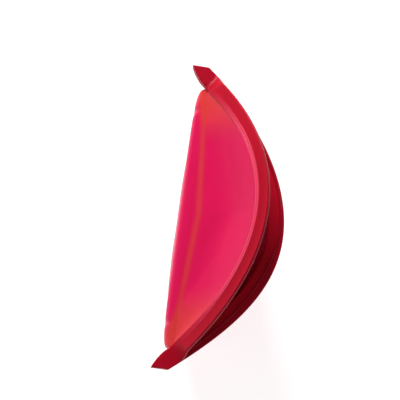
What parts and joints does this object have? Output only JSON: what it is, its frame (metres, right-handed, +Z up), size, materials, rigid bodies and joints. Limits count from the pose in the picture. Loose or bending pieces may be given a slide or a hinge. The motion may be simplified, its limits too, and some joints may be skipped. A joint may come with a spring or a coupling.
{
  "type": "reusable silicone bag",
  "caption": "Stand-up silicone food bag with a flat base, a press-to-seal mouth folded back and half open, and a pull tab at each corner of the mouth.",
  "frame": {"origin": "middle of the face that the bag stands on", "axes": "+X along the mouth, from the left ear to the right ear; -Y is the front; +Z is up from the base"},
  "size_m": [0.235, 0.0883, 0.1616],
  "materials": {
    "silicone_wall": "satin, slightly translucent",
    "silicone_lip": "satin",
    "silicone_base": "satin",
    "silicone_seal": "smooth"
  },
  "bodies": {
    "pouch": {"base_panel": "silicone_base", "front_wall": "silicone_wall", "back_wall": "silicone_wall", "back_lip": "silicone_lip", "seal_rib": "silicone_seal", "left_lip_join": "silicone_lip", "right_lip_join": "silicone_lip"},
    "mouth_flap": {"front_flap": "silicone_wall", "front_lip": "silicone_lip", "seal_channel": "silicone_seal"},
    "left_tab": {"left_pull_tab": "silicone_lip"},
    "right_tab": {"right_pull_tab": "silicone_lip"}
  },
  "joints": [
    {"name": "mouth_swing", "type": "hinge", "parent": "pouch", "child": "mouth_flap", "pos_m": [0, -0.027, 0.11], "axis": [1, 0, 0], "range_deg": [-44, 46]},
    {"name": "left_tab_bend", "type": "hinge", "parent": "pouch", "child": "left_tab", "pos_m": [-0.10775, -0.02751, 0.11], "axis": [-0.6241, 0.7813, 0], "range_deg": [-30, 30], "stiffness_Nm_per_rad": 0.08},
    {"name": "right_tab_bend", "type": "hinge", "parent": "pouch", "child": "right_tab", "pos_m": [0.10775, -0.02751, 0.11], "axis": [-0.6241, -0.7813, 0], "range_deg": [-30, 30], "stiffness_Nm_per_rad": 0.08}
  ]
}
